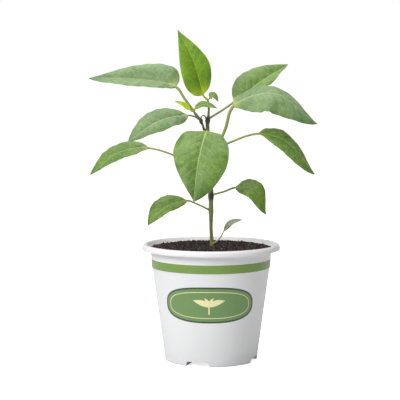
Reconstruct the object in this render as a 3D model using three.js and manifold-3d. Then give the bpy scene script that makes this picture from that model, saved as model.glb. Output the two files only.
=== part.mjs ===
// A young sweet pepper plant in a small round transplant pot, in millimetres, with +Z up.
// The origin is the centre of the pot's base, on the ground, and the front of the pot faces -Y.
// The pot is a thin moulded cup with a rolled lip, a printed band under it and four drainage
// notches at its foot. The plant is one stem with a side shoot and fourteen leaves. Each leaf is
// one piece, stalk and blade together.

import * as THREE from 'three';
import { mergeVertices } from 'three/addons/utils/BufferGeometryUtils.js';
import Module from 'manifold-3d';

const wasm = await Module();
wasm.setup();

// ---- Driving dimensions -------------------------------------------------------------------

const GAP = 0.3;                 // air left between pieces that touch on the real plant
const ROUND = 64;                // sides of the round pot
const FLOOR_THICKNESS = 1.2;
const LIP_OUTER_RADIUS = 60;     // the pot measures 120 mm across its lip
const LIP_CREST = 101.5;         // height of the pot
const FOOT_RADIUS = 40;

// Outside of the pot from the foot up, as [radius, height].
const WALL_OUTSIDE = [
  [0, 0], [FOOT_RADIUS - 0.6, 0], [FOOT_RADIUS, 0.6], [40.5, 3], [51, 80.4], [51.6, 81.5],
  [52, 89], [52.5, 95],
];
// Rolled lip: down its hollow underside is open, so it is drawn from the wall up and over.
const LIP_UNDERSIDE = [[54.2, 97.6], [55.7, 99.5], [57, 100.2], [58.2, 99.7], [58.8, 98.4], [58.9, 96.7]];
const LIP_OVER = [
  [59.9, 96.7], [LIP_OUTER_RADIUS, 98.4], [59.2, 100.5], [57.6, LIP_CREST], [55.6, 101.1],
  [54.4, 99.5], [52.5, 97.4],
];
// Inside of the pot from the lip down to the floor.
const WALL_INSIDE = [[51.4, 95], [49.9, 80.4], [39.4, 3], [38.6, FLOOR_THICKNESS]];

// Four drainage channels run outwards under the floor and open through the foot.
const CHANNEL_ANGLES = [-107.5, -17.5, 72.5, 162.5];   // degrees from +X, counter-clockwise
const CHANNEL_WIDTH = [22.6, 18.4];                    // at the ground and at its roof
const CHANNEL_HEIGHT = 4.2;
const CHANNEL_START = 15;                              // radius of its closed inner end
const DRAIN_RADIUS = 4;
const DRAIN_PLACE = 29;

// Top of the potting mix, slightly domed, as [radius, height].
const MIX_TOP = [[52.1, 97.3], [52.9, 98.2], [44, 98.5], [30, 98.6], [15, 98.7], [0, 98.7]];

// Main stem with its tapering root: [x, y, z, radius]. The swellings are its nodes.
const STEM = [
  [1, 0, 72, 0.5], [1, 0, 80, 1.2], [1, 0, 88, 1.7], [1, 0, 94, 2.1], [1, 0, 98, 1.9],
  [0.5, 0, 106, 1.6], [0, 0, 115, 1.5], [0, 0, 124, 1.8], [0, 0, 130, 2.2], [0, 0, 137, 2],
  [0, 0, 143, 2.5], [0, 0, 149, 2], [-0.5, 0, 160, 1.9], [-1, 0, 171, 1.9], [-1.6, 0, 180, 2.1],
  [-2.4, 0, 190, 1.8], [-3, 0, 199, 1.8], [-3.1, 0, 204.5, 1.6], [-2.9, 0, 208.6, 2.2],
  [-2.3, 0, 213, 1.1], [-2, 0, 218, 0.9], [-2.3, 0, 223, 1.1], [-3, 0, 226.4, 0.7],
];
const SIDE_SHOOT = [
  [-6.1, 0.3, 200.8, 1.1], [-7.1, 1, 204, 1], [-8.8, 1.6, 207.8, 1.2], [-11, 2.2, 211, 1.2],
  [-13.2, 2.7, 213.6, 1.3], [-15, 3, 216.2, 0.9],
];
// Flower bud nodding on its curved stalk.
const FLOWER_BUD = [
  [-4.6, -2.4, 210.6, 0.5], [-5.2, -3.6, 212.2, 0.5], [-6.6, -4.6, 213, 0.5], [-8.1, -5, 212.2, 0.5],
  [-8.7, -5, 210.6, 0.7], [-8.7, -5, 208.8, 1.6], [-8.7, -5, 206.8, 1.6], [-8.7, -5, 205.6, 0.5],
];

// Each leaf follows five points: the foot of its stalk, the middle of the stalk, the base of the
// blade, the middle of the blade and its tip. faces gives the way its upper side looks at the
// blade's base and tip. left and right are the two halves of the blade, seen from above with the
// tip pointing away, each with its width, how slowly it swells from the base, how slowly it
// tapers to the tip, the degrees it is folded up, and the height of the ripple along its margin.
// stalk is the radius of the leaf stalk.
const LEAVES = {
  top_leaf: {
    path: [[-4.8, -0.9, 227], [-5.8, -1.3, 228.7], [-7, -2, 230.4], [-13.8, -7, 256.2], [-29, -2, 287]],
    faces: [[0.35, -1, 0.15], [0.1, -1, 0.1]],
    left: [15.1, 0.74, 1.24, 9, 0.8], right: [12.2, 1.01, 1.37, 10, 0.8], stalk: 0.9,
  },
  upper_left_leaf: {
    path: [[-16.8, 4.6, 218], [-23.4, 5, 227.8], [-30.7, 6, 237.4], [-65.6, 14, 244], [-107, 18, 245]],
    faces: [[-0.1, -0.56, 0.83], [0, -0.56, 0.83]],
    left: [14.6, 0.63, 0.7, 11, 0.3], right: [19.3, 0.43, 1.25, 18, 0], stalk: 1.2,
  },
  bright_leaflet: {
    path: [[-17.1, 1.6, 216.2], [-17.6, 1.4, 217], [-18.4, 1.2, 218], [-23, 0, 221.8], [-31.5, -2, 225.3]],
    faces: [[0, -0.8, 0.6], [0, -0.8, 0.6]],
    left: [2.7, 0.6, 0.9, 10, 0], right: [2.7, 0.6, 0.9, 10, 0], stalk: 0.6,
  },
  curved_leaflet: {
    path: [
      [-14.2, 0.6, 216.6], [-14.2, -0.3, 217.8], [-13.8, -1, 219.2], [-6, -5.5, 222.3],
      [5.5, -8, 219.2],
    ],
    faces: [[0, -0.7, 0.7], [0.1, -0.7, 0.7]],
    left: [4.2, 0.5, 0.9, 10, 0.3], right: [4, 0.5, 0.9, 10, 0.3], stalk: 0.6,
  },
  tip_leaflet: {
    path: [[-1.7, -1, 226.3], [-1.6, -1.4, 227.2], [-1.2, -1.8, 228.2], [1.8, -3, 230], [6.2, -5, 224.7]],
    faces: [[0, -0.7, 0.7], [0.6, -0.6, 0.3]],
    left: [4, 0.5, 0.9, 10, 0], right: [3.6, 0.5, 0.9, 10, 0], stalk: 0.45,
  },
  upper_right_leaf: {
    path: [[0.4, 1.6, 210], [10.9, 12, 217.7], [20.8, 22, 224.4], [40.9, 34, 239], [69, 44, 257]],
    faces: [[-0.2, -0.6, 0.8], [0, -0.6, 0.8]],
    left: [18.2, 0.9, 1.07, 13, 0.2], right: [11.4, 0.64, 0.96, 9, 1.7], stalk: 0.95,
  },
  mid_left_leaf: {
    path: [[-10.8, -0.8, 209.2], [-14.3, -5, 211.9], [-20.2, -12, 213.3], [-44, -26, 209.1], [-70, -34, 192]],
    faces: [[0, -0.62, 0.8], [-0.3, -0.6, 0.7]],
    left: [11.4, 0.76, 0.93, -10, 0.8], right: [14.5, 0.75, 0.79, 5, -0.2], stalk: 0.75,
  },
  right_leaf: {
    path: [[1.8, 2.6, 171.5], [12.3, 4, 201], [19.3, 1, 220.6], [52.5, -6, 232], [91, -12, 206]],
    faces: [[0, -0.5, 0.85], [0.3, -0.5, 0.83]],
    left: [20.7, 0.64, 1.18, -12, 0.4], right: [21.5, 0.77, 0.8, -19, 0.8], stalk: 1.4,
  },
  mid_right_leaf: {
    path: [[1.8, -1.6, 182], [14.6, -6, 189.2], [41, -8, 197.4], [64, -12, 190.8], [89, -14, 163]],
    faces: [[0, -0.5, 0.85], [0.4, -0.5, 0.8]],
    left: [11.9, 0.61, 1.3, 3, 0.5], right: [11.5, 0.95, 0.7, -13, 0.1], stalk: 0.95,
  },
  front_leaf: {
    path: [[-2.6, -3.3, 179], [-4.1, -12, 192.8], [-4.2, -22, 199.6], [-10.9, -44, 176.1], [-15, -54, 143]],
    faces: [[0, -0.4, 1], [0, -1, 0.3]],
    left: [24.7, 0.61, 0.77, 1, 1.2], right: [23, 0.59, 1.12, 0, 1.4], stalk: 1.1,
  },
  lower_left_leaf: {
    path: [[-3.4, 2.2, 162.5], [-17.5, 12, 171.2], [-55, 20, 183.5], [-82.7, 25, 178.6], [-107, 26, 159]],
    faces: [[0, -0.45, 0.9], [-0.4, -0.45, 0.83]],
    left: [11.8, 0.71, 1.16, -4, 0.3], right: [12.4, 0.7, 0.77, 10, -0.3], stalk: 0.85,
  },
  low_left_leaf: {
    path: [[-3.2, -1.5, 130.6], [-11, -6, 136], [-20.9, -12, 140], [-39.1, -22, 135.5], [-54, -28, 120]],
    faces: [[0, -0.5, 0.85], [-0.4, -0.5, 0.83]],
    left: [8.3, 0.71, 1.01, -7, -0.3], right: [12.8, 0.8, 0.89, 9, -0.4], stalk: 0.8,
  },
  low_right_leaf: {
    path: [[3.6, -1, 143.8], [12, -6, 147.6], [21, -12, 151.3], [36.9, -20, 149.9], [47, -24, 129]],
    faces: [[0, -0.5, 0.85], [0.5, -0.5, 0.7]],
    left: [12.7, 0.66, 1.34, 5, -0.3], right: [10, 0.72, 0.82, -17, -0.1], stalk: 0.85,
  },
  seed_leaf: {
    path: [[2.6, -2.6, 101.5], [7, -6, 106], [11, -8, 113], [17, -12, 121], [27, -14, 124]],
    faces: [[0.2, -0.7, 0.3], [0, -0.6, 0.7]],
    left: [2.8, 0.8, 0.9, 0, 0], right: [2.8, 0.8, 0.9, 0, 0], stalk: 0.6,
  },
};
const BLADE_HALF_THICKNESS = 0.35;
const MIDRIB_HALF_BREADTH = 2;    // how far the midrib's thickening spreads to each side
const TIP_RADIUS = 0.2;
const RIPPLES = 2.6;              // ripples of the margin from the base of a blade to its tip

// ---- Solids -------------------------------------------------------------------------------

// Merges a geometry's shared corners, so that it is one closed skin.
function skin(geometry) {
  const bare = geometry.index ? geometry.clone() : mergeVertices(geometry.clone());
  bare.deleteAttribute('normal');
  bare.deleteAttribute('uv');
  return mergeVertices(bare, 1e-4);
}

// Makes a solid for joining and cutting.
function solid(geometry) {
  const { index, attributes } = skin(geometry);
  return new wasm.Manifold(new wasm.Mesh({
    numProp: 3,
    vertProperties: new Float32Array(attributes.position.array),
    triVerts: new Uint32Array(index.array),
  }));
}

// Turns a solid back into a geometry.
function geometryOf(body) {
  const mesh = body.getMesh();
  const geometry = new THREE.BufferGeometry();
  geometry.setAttribute('position', new THREE.BufferAttribute(mesh.vertProperties, mesh.numProp));
  geometry.setIndex(new THREE.BufferAttribute(mesh.triVerts, 1));
  geometry.computeVertexNormals();
  return geometry;
}

// Turns a closed [radius, height] profile about the upright axis. LatheGeometry turns about Y.
function turned(profile) {
  const points = profile.map(([r, z]) => new THREE.Vector2(r, z));
  return new THREE.LatheGeometry(points, ROUND).rotateX(Math.PI / 2);
}

// A long block of trapezoid section, lying outwards from the axis at an angle in degrees.
function radialBlock(widths, height, start, end, angle) {
  const [foot, roof] = widths.map((width) => width / 2);
  const section = new THREE.Shape([
    new THREE.Vector2(-foot, -1), new THREE.Vector2(foot, -1), new THREE.Vector2(foot, 0),
    new THREE.Vector2(roof, height), new THREE.Vector2(-roof, height), new THREE.Vector2(-foot, 0),
  ]);
  const block = new THREE.ExtrudeGeometry(section, { depth: end - start, bevelEnabled: false });
  return block.translate(0, 0, start).rotateX(Math.PI / 2).rotateZ(THREE.MathUtils.degToRad(angle + 90));
}

// Bends a many-sided cylinder into a stem or leaf. place(station, side, face) gives the position
// of the skin: station counts along from the foot, side and face are the cosine-like pair around.
function lofted(around, along, place) {
  const geometry = new THREE.CylinderGeometry(1, 1, 1, around, along);
  const position = geometry.attributes.position;
  for (let i = 0; i < position.count; i++) {
    const x = position.getX(i);
    const z = position.getZ(i);
    const station = Math.round((position.getY(i) + 0.5) * along);
    const middle = Math.hypot(x, z) < 0.5;
    const turn = (Math.round((Math.atan2(x, z) / (2 * Math.PI)) * around) + around) % around;
    const angle = (turn / around) * 2 * Math.PI;
    const point = middle ? place(station, 0, 0) : place(station, Math.sin(angle), Math.cos(angle));
    position.setXYZ(i, point.x, point.y, point.z);
  }
  return geometry;
}

const curveThrough = (points) => new THREE.CatmullRomCurve3(
  points.map(([x, y, z]) => new THREE.Vector3(x, y, z)), false, 'centripetal');

// The two directions across a path: sideways, and out of the upper face.
function frameAt(curve, t, facing) {
  const tangent = curve.getTangent(t);
  const side = new THREE.Vector3().crossVectors(tangent, facing).normalize();
  const face = new THREE.Vector3().crossVectors(side, tangent);
  return { centre: curve.getPoint(t), side, face };
}

// A stem along [x, y, z, radius] points, its radius easing from one point to the next.
function stemGeometry(points, around, perSpan, grow = 0) {
  const curve = curveThrough(points);
  const spans = points.length - 1;
  const facing = new THREE.Vector3(0, -1, 0.02);
  return lofted(around, spans * perSpan, (station, side, face) => {
    const at = Math.min(station / perSpan, spans);
    const span = Math.min(Math.floor(at), spans - 1);
    const ease = THREE.MathUtils.smoothstep(at - span, 0, 1);
    const radius = THREE.MathUtils.lerp(points[span][3], points[span + 1][3], ease) + grow;
    const frame = frameAt(curve, at / spans, facing);
    return frame.centre
      .addScaledVector(frame.side, side * radius)
      .addScaledVector(frame.face, face * radius);
  });
}

// Share of the full width at v, which runs from 0 at the blade's base to 1 at its tip.
function breadth(v, swell, taper) {
  const widest = swell / (swell + taper);
  return ((v / widest) ** swell) * (((1 - v) / (1 - widest)) ** taper);
}

// A leaf: its round stalk widens into a thin folded blade that is thicker along the midrib.
function leafGeometry(leaf, around, stalkStations, bladeStations) {
  const curve = curveThrough(leaf.path);
  const [baseFacing, tipFacing] = leaf.faces.map((f) => new THREE.Vector3(...f).normalize());
  return lofted(around, stalkStations + bladeStations, (station, side, face) => {
    const v = Math.max(0, (station - stalkStations) / bladeStations);
    const t = v > 0 ? 0.5 + v / 2 : station / stalkStations / 2;
    const frame = frameAt(curve, t, baseFacing.clone().lerp(tipFacing, v).normalize());
    const stalk = THREE.MathUtils.lerp(leaf.stalk, TIP_RADIUS, v ** 0.5);
    const [full, swell, taper, foldDegrees, wave] = side > 0 ? leaf.right : leaf.left;
    const share = breadth(v, swell, taper);
    const fold = THREE.MathUtils.degToRad(foldDegrees) * Math.min(1, v * 8);
    const out = Math.abs(side) * Math.hypot(full * share, stalk);
    const ripplePhase = 2 * Math.PI * RIPPLES * v + (side > 0 ? 0 : 2);
    const ripple = wave * Math.sin(ripplePhase) * side * side * share;
    const near = Math.exp(-((out / MIDRIB_HALF_BREADTH) ** 2));
    const edge = Math.min(stalk, BLADE_HALF_THICKNESS);
    const thin = THREE.MathUtils.lerp(stalk, edge, Math.min(1, v * 6));
    const thickness = face > 0 ? thin : thin + (stalk - thin) * near;
    return frame.centre
      .addScaledVector(frame.side, Math.sign(side) * Math.cos(fold) * out)
      .addScaledVector(frame.face, Math.sin(fold) * out + ripple + face * thickness);
  });
}

// ---- Pot ----------------------------------------------------------------------------------

const potShell = solid(turned([
  ...WALL_OUTSIDE, ...LIP_UNDERSIDE, ...LIP_OVER, ...WALL_INSIDE, [0, FLOOR_THICKNESS],
]));
const potEnvelope = solid(turned([...WALL_OUTSIDE, [0, 95]]));
const ridgeWidths = CHANNEL_WIDTH.map((width) => width + 2 * FLOOR_THICKNESS);
const ridgeHeight = CHANNEL_HEIGHT + FLOOR_THICKNESS;
const ridgeStart = CHANNEL_START - FLOOR_THICKNESS;

let pot = potShell;
let mix = solid(turned([
  [0, FLOOR_THICKNESS + GAP],
  ...WALL_INSIDE.toReversed().map(([r, z]) => [r - 1.15 * GAP, Math.max(z, FLOOR_THICKNESS + GAP)]),
  ...MIX_TOP,
]));
for (const angle of CHANNEL_ANGLES) {
  pot = pot.add(potEnvelope.intersect(solid(radialBlock(ridgeWidths, ridgeHeight, ridgeStart, 50, angle)))
    .subtract(solid(radialBlock([200, 200], 0, 0, 60, angle))));
}
for (const angle of CHANNEL_ANGLES) {
  const drain = new THREE.CylinderGeometry(DRAIN_RADIUS, DRAIN_RADIUS, 8, 16).rotateX(Math.PI / 2)
    .translate(DRAIN_PLACE, 0, CHANNEL_HEIGHT).rotateZ(THREE.MathUtils.degToRad(angle));
  pot = pot.subtract(solid(radialBlock(CHANNEL_WIDTH, CHANNEL_HEIGHT, CHANNEL_START, 60, angle)))
    .subtract(solid(drain));
  const clear = ridgeWidths.map((width) => width + 2.4 * GAP);
  mix = mix.subtract(solid(radialBlock(clear, ridgeHeight + GAP, ridgeStart - GAP, 60, angle)));
}
mix = mix.subtract(solid(stemGeometry(STEM, 10, 2, GAP)));

// ---- The object ---------------------------------------------------------------------------

const FINISHES = {
  pot: new THREE.MeshStandardMaterial({ color: 0xd6d9d8, roughness: 0.35, metalness: 0 }),
  mix: new THREE.MeshStandardMaterial({ color: 0x35291c, roughness: 0.95, metalness: 0 }),
  stem: new THREE.MeshStandardMaterial({ color: 0x6c7a3c, roughness: 0.5, metalness: 0 }),
  leaf: new THREE.MeshStandardMaterial({ color: 0x7d9c50, roughness: 0.45, metalness: 0 }),
  young: new THREE.MeshStandardMaterial({ color: 0xa9b83c, roughness: 0.45, metalness: 0 }),
};

const group = new THREE.Group();
function addPiece(name, geometry, finish) {
  const mesh = new THREE.Mesh(geometry, FINISHES[finish].clone());
  mesh.name = name;
  group.add(mesh);
}

addPiece('pot', geometryOf(pot), 'pot');
addPiece('potting_mix', geometryOf(mix), 'mix');
addPiece('main_stem', skin(stemGeometry(STEM, 10, 2)), 'stem');
addPiece('side_shoot', skin(stemGeometry(SIDE_SHOOT, 8, 2)), 'stem');
addPiece('flower_bud', skin(stemGeometry(FLOWER_BUD, 8, 2)), 'young');
for (const [name, leaf] of Object.entries(LEAVES)) {
  const small = Math.max(leaf.left[0], leaf.right[0]) < 7;
  const geometry = small ? leafGeometry(leaf, 8, 4, 8) : leafGeometry(leaf, 12, 6, 13);
  addPiece(name, skin(geometry), name === 'bright_leaflet' ? 'young' : 'leaf');
}

export default group;
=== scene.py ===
# %% [markdown]
# # A young sweet pepper plant in its pot
# A seedling that is ready to plant out: a pale plastic pot, dark potting mix, one green stem and
# leaves of every age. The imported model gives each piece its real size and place, in metres, with
# the pot's base on the ground at the origin and its front towards -Y. This lesson puts a finely
# made piece where each plain one stands.

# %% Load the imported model
import math
import random

import bmesh
import bpy
import numpy as np
from mathutils import Euler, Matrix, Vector, noise


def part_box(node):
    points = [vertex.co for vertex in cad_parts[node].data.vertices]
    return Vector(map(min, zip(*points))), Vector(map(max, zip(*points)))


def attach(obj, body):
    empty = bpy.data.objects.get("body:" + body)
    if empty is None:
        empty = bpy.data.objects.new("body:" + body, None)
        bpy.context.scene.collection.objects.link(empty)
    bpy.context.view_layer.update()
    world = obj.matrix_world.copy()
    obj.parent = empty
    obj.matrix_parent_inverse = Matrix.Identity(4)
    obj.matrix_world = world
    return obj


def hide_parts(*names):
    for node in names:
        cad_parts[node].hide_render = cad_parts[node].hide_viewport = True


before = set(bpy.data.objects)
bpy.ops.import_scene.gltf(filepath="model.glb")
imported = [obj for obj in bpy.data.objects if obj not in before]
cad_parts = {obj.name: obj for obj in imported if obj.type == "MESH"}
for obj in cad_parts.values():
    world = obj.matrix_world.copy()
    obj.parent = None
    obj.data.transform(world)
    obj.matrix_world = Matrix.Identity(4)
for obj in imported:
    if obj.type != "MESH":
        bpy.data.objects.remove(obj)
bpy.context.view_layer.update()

MM = 0.001

# %% [markdown]
# ## Camera
# A long lens far away keeps the pot's sides nearly straight. A short lens close by would swell the
# front leaf. The camera stands above the middle of the plant and looks slightly down, so that the
# potting mix shows over the lip.

# %% Camera
CAMERA_PLACE = (-0.0096, -1.288, 0.256)
CAMERA_DOWN = math.radians(5.17)
LENS, SENSOR = 134, 36
bpy.ops.object.camera_add(location=CAMERA_PLACE, rotation=(math.radians(90) - CAMERA_DOWN, 0, 0))
camera = bpy.context.object
camera.data.lens = LENS
camera.data.sensor_width = SENSOR
bpy.context.scene.camera = camera
print("lens:", camera.data.lens, "mm")

# %% [markdown]
# ## Studio
# A big soft lamp hangs at the upper left, where it draws a gentle shade across the pot, and a wide
# one overhead puts the pale sheen on the leaves. A sun or a point lamp would be quicker to place, but
# their hard shadows would cut the leaves up. The view transform is the plain one, so that white paper
# comes out white.

# %% Lamps
scene = bpy.context.scene
scene.view_settings.view_transform = "Standard"
scene.view_settings.look = "None"


def soft_lamp(name, place, aim, size, watts):
    """Adds a square lamp that looks at a point."""
    turn = (Vector(aim) - Vector(place)).to_track_quat("-Z", "Y").to_euler()
    bpy.ops.object.light_add(type="AREA", location=place, rotation=turn)
    lamp = bpy.context.object
    lamp.name = name
    lamp.data.size = size
    lamp.data.energy = watts
    print(name, watts, "W")


PLANT_MIDDLE = (0, 0, 0.15)
soft_lamp("key_lamp", (-0.9, -1.1, 0.9), PLANT_MIDDLE, 0.6, 16.5)
soft_lamp("sky_lamp", (-0.15, 0.1, 1.4), PLANT_MIDDLE, 1.2, 16)

# %% [markdown]
# ## Arithmetic for materials
# A finish is a small calculation over the surface, and in Blender each step of it is a node. Wiring
# dozens of nodes by hand is slow to write and hard to read. Here a socket is wrapped in a class that
# knows +, -, * and /, so that the calculation can be written as a sum and the nodes appear behind it.

# %% Arithmetic for materials


class Sum:
    """A socket somewhere in a finish. Where it is a number, arithmetic on it adds Math nodes."""

    def __init__(self, finish, socket):
        self.finish = finish
        self.socket = socket

    def math(self, operation, *others):
        settings = {"operation": operation}
        return self.finish.node("ShaderNodeMath", settings, dict(enumerate((self, *others))))

    def __add__(self, other):
        return self.math("ADD", other)

    def __sub__(self, other):
        return self.math("SUBTRACT", other)

    def __rsub__(self, other):
        return self.finish.number(other).math("SUBTRACT", self)

    def __mul__(self, other):
        return self.math("MULTIPLY", other)

    def __truediv__(self, other):
        return self.math("DIVIDE", other)

    def __abs__(self):
        return self.math("ABSOLUTE")

    __radd__ = __add__
    __rmul__ = __mul__

    def fade(self, start, end):
        """0 below start and 1 above end, or the other way round where end is the lower one."""
        low, high = min(start, end), max(start, end)
        sockets = {"Value": self, "From Min": low, "From Max": high}
        settings = {"interpolation_type": "SMOOTHSTEP"}
        smooth = self.finish.node("ShaderNodeMapRange", settings, sockets)
        return smooth if start < end else 1 - smooth


class Nodes:
    """A tree of nodes that are all added by one method."""

    def __init__(self, tree):
        self.tree = tree

    def node(self, kind, settings=None, sockets=None, output=0):
        """Adds a node: first its settings, then the values or links of its sockets."""
        node = self.tree.nodes.new(kind)
        for key, value in (settings or {}).items():
            setattr(node, key, value)
        for key, value in (sockets or {}).items():
            if isinstance(value, Sum):
                self.tree.links.new(value.socket, node.inputs[key])
            else:
                node.inputs[key].default_value = value
        return Sum(self, node.outputs[output] if node.outputs else None)

    def number(self, value):
        return self.node("ShaderNodeMath", {"operation": "ADD"}, {0: value, 1: 0.0})


print("sums ready")

# %% [markdown]
# ## Finishes
# A finish is a Principled shader with a name. What is the same all over a piece is set on the
# shader's own sockets when the finish is made. What varies is worked out as a sum and joined on with
# wear, and fine relief goes through a Bump node. Every pattern starts from the object's own
# coordinates, so it stays where it is when the piece is turned or exported.

# %% Finishes


class Finish(Nodes):
    """A material that starts as one Principled shader."""

    def __init__(self, name, **constants):
        self.material = bpy.data.materials.new(name)
        self.material.use_nodes = True
        super().__init__(self.material.node_tree)
        self.shader = self.tree.nodes["Principled BSDF"]
        for socket, value in constants.items():
            self.shader.inputs[socket.replace("_", " ")].default_value = value

    def parts(self, vector):
        """The three numbers of a vector."""
        split = self.node("ShaderNodeSeparateXYZ", None, {0: vector})
        return [Sum(self, socket) for socket in split.socket.node.outputs]

    def place(self):
        return self.node("ShaderNodeTexCoord", output="Object")

    def stored(self, name):
        return self.node("ShaderNodeAttribute", {"attribute_name": name}, output="Vector")

    def grain(self, vector, scale, detail=3.0, roughness=0.55):
        """Soft noise from 0 to 1."""
        sockets = {"Vector": vector, "Scale": scale, "Detail": detail, "Roughness": roughness}
        return self.node("ShaderNodeTexNoise", None, sockets)

    def blend(self, share, first, second):
        """A colour between two, each four numbers or a colour made before."""
        settings = {"data_type": "RGBA", "clamp_factor": True}
        return self.node("ShaderNodeMix", settings, {0: share, 6: first, 7: second}, output=2)

    def wear(self, socket, value):
        """Joins a value that varies over the surface to the shader."""
        self.tree.links.new(value.socket, self.shader.inputs[socket])

    def relief(self, height, distance, strength=1.0):
        sockets = {"Height": height, "Distance": distance, "Strength": strength}
        self.wear("Normal", self.node("ShaderNodeBump", None, sockets))


def colour(red, green, blue):
    """A material colour from the three numbers, 0 to 255, that a paint chart gives."""
    shares = [c / 255 for c in (red, green, blue)]
    return (*(c / 12.92 if c < 0.0404 else ((c + 0.055) / 1.055) ** 2.4 for c in shares), 1)


print("finish tools ready")

# %% [markdown]
# ## White room
# The world has two jobs. The camera sees it as plain white paper, and everything else sees a weaker
# glow that fills the shadows from all round. One background can't be both, so a Light Path node
# chooses between two.

# %% White room
WHITE = (1, 1, 1, 1)
PAPER_STRENGTH, GLOW_STRENGTH = 1.0, 0.38

world = bpy.data.worlds.new("white_room")
scene.world = world
world.use_nodes = True
world.node_tree.nodes.clear()
room = Nodes(world.node_tree)
paper = room.node("ShaderNodeBackground", None, {"Color": WHITE, "Strength": PAPER_STRENGTH})
glow = room.node("ShaderNodeBackground", None, {"Color": WHITE, "Strength": GLOW_STRENGTH})
to_camera = room.node("ShaderNodeLightPath", output="Is Camera Ray")
shown = room.node("ShaderNodeMixShader", None, {0: to_camera, 1: glow, 2: paper})
room.node("ShaderNodeOutputWorld", None, {"Surface": shown})
print("world nodes:", len(world.node_tree.nodes))

# %% [markdown]
# ## Finishing a piece
# Operators act on whatever is selected, so every piece starts from nothing selected. A finished
# piece has its place in its mesh and its object at the origin. It gets its material, rides on the
# plant's one body, and stands for the plain node that it replaces.

# %% Finishing a piece


def clear_selection():
    if bpy.context.object and bpy.context.object.mode == "EDIT":
        bpy.ops.object.mode_set(mode="OBJECT")
    bpy.ops.object.select_all(action="DESELECT")


def named(name):
    bpy.context.object.name = name
    bpy.context.object.data.name = name
    return bpy.context.object


def finished(piece, finish, node=None, sharp=40):
    """Smooths a piece, gives it its finish, and hides the plain node that it replaces."""
    clear_selection()
    piece.select_set(True)
    bpy.context.view_layer.objects.active = piece
    bpy.ops.object.transform_apply(location=True, rotation=True, scale=True)
    bpy.ops.object.shade_smooth_by_angle(angle=math.radians(sharp))
    piece.data.materials.clear()
    piece.data.materials.append(finish.material)
    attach(piece, "root")
    if node:
        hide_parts(node)
    piece.data.calc_loop_triangles()
    print(piece.name, "triangles:", len(piece.data.loop_triangles))
    return piece


print("finishing ready")

# %% [markdown]
# ## Spinning and carving
# Two ways of shaping serve the whole pot. Spinning turns an outline about the upright axis, as a
# lathe does. The outline is drawn by extruding one point from place to place. Carving joins or cuts
# with a second solid, and is kept for what isn't round.

# %% Spinning and carving


def spun(name, outline, steps):
    """Draws an outline of (radius, height) points and spins it about the upright axis."""
    clear_selection()
    bpy.ops.mesh.primitive_plane_add(size=MM)
    piece = named(name)
    bpy.ops.object.mode_set(mode="EDIT")
    bpy.ops.mesh.merge(type="CENTER")
    at = Vector((0, 0, 0))
    for number, (radius, height) in enumerate(outline):
        step = Vector((radius, 0, height)) - at
        if number == 0:
            bpy.ops.transform.translate(value=step)
        else:
            bpy.ops.mesh.extrude_vertices_move(TRANSFORM_OT_translate={"value": step})
        at += step
    bpy.ops.mesh.select_all(action="SELECT")
    bpy.ops.mesh.spin(steps=steps, angle=math.tau, center=(0, 0, 0), axis=(0, 0, 1))
    bpy.ops.mesh.select_all(action="SELECT")
    bpy.ops.mesh.remove_doubles(threshold=0.002 * MM)
    bpy.ops.mesh.normals_make_consistent(inside=False)
    bpy.ops.object.mode_set(mode="OBJECT")
    return piece


def carved(piece, tool, operation):
    """Joins, cuts or keeps what a piece shares with a tool, and removes the tool."""
    clear_selection()
    bpy.context.view_layer.objects.active = piece
    boolean = piece.modifiers.new("carve", "BOOLEAN")
    boolean.operation = operation
    boolean.object = tool
    boolean.solver = "EXACT"
    bpy.ops.object.modifier_apply(modifier="carve")
    bpy.data.objects.remove(tool)


def rounded(corner_in, corner, corner_out, radius, steps=5):
    """Points that turn a corner of an outline on a smooth curve, radius before it to radius after."""
    before = np.array(corner) + radius * unit(np.subtract(corner_in, corner))
    after = np.array(corner) + radius * unit(np.subtract(corner_out, corner))
    late = np.linspace(0, 1, steps)[:, None]
    early = 1 - late
    curve = early ** 2 * before + 2 * late * early * np.array(corner) + late ** 2 * after
    return [tuple(point) for point in curve]


def unit(vectors):
    vectors = np.asarray(vectors, float)
    return vectors / np.linalg.norm(vectors, axis=-1, keepdims=True)


print("shaping ready")

# %% [markdown]
# ## The pot
# A thin cup moulded in one shot from pale plastic, with a lip rolled outwards so that it can be
# carried and stacked. Anything round about one axis is quickest as an outline that is spun, like
# clay on a wheel. Each corner of the outline is rounded, as a mould's are, because light catches on
# a small curve and never on a perfect edge.

# %% Pot outline
POT_OUTLINE = [
    (0, 0), (39.6, 0), (40.2, 1), (40.6, 3.5), (51, 80.4), (51.6, 81.5), (52, 89), (52.5, 95),
    (54.2, 97.8), (55.8, 99.6), (57.2, 100.3), (58.6, 99.4), (58.9, 96.7), (59.9, 96.7), (60, 99),
    (58.6, 101.5), (55.8, 101.5), (54.2, 99), (51.5, 95.6), (49.9, 80.4), (39.4, 3), (38.6, 1.2),
    (0, 1.2),
]
CORNER, BIG_CORNER = 0.9, 1.5
BIG_CORNERS = [(60, 99), (58.6, 101.5), (55.8, 101.5), (54.2, 99), (51.5, 95.6)]
CORNER_ROOM = 0.45               # the most of a side that the round of one corner may take
POT_STEPS = 160

smooth_outline = [POT_OUTLINE[0]]
for before, here, after in zip(POT_OUTLINE, POT_OUTLINE[1:], POT_OUTLINE[2:]):
    most = CORNER_ROOM * min(math.dist(before, here), math.dist(here, after))
    wanted = BIG_CORNER if here in BIG_CORNERS else CORNER
    smooth_outline += rounded(before, here, after, min(most, wanted))
smooth_outline.append(POT_OUTLINE[-1])
pot = spun("pot.moulded", [(r * MM, z * MM) for r, z in smooth_outline], POT_STEPS)
print("pot outline points:", len(smooth_outline))

# %% [markdown]
# ## Drainage channels
# Water has to leave the pot even when it stands flat. Four low channels run outwards under the
# floor and open as notches in the foot. The floor is raised over each, so that its wall stays one
# thickness, and each has a round hole. A modeller carves these with boolean tools: a block is
# shaped, turned to four places, and joined or cut.

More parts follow.
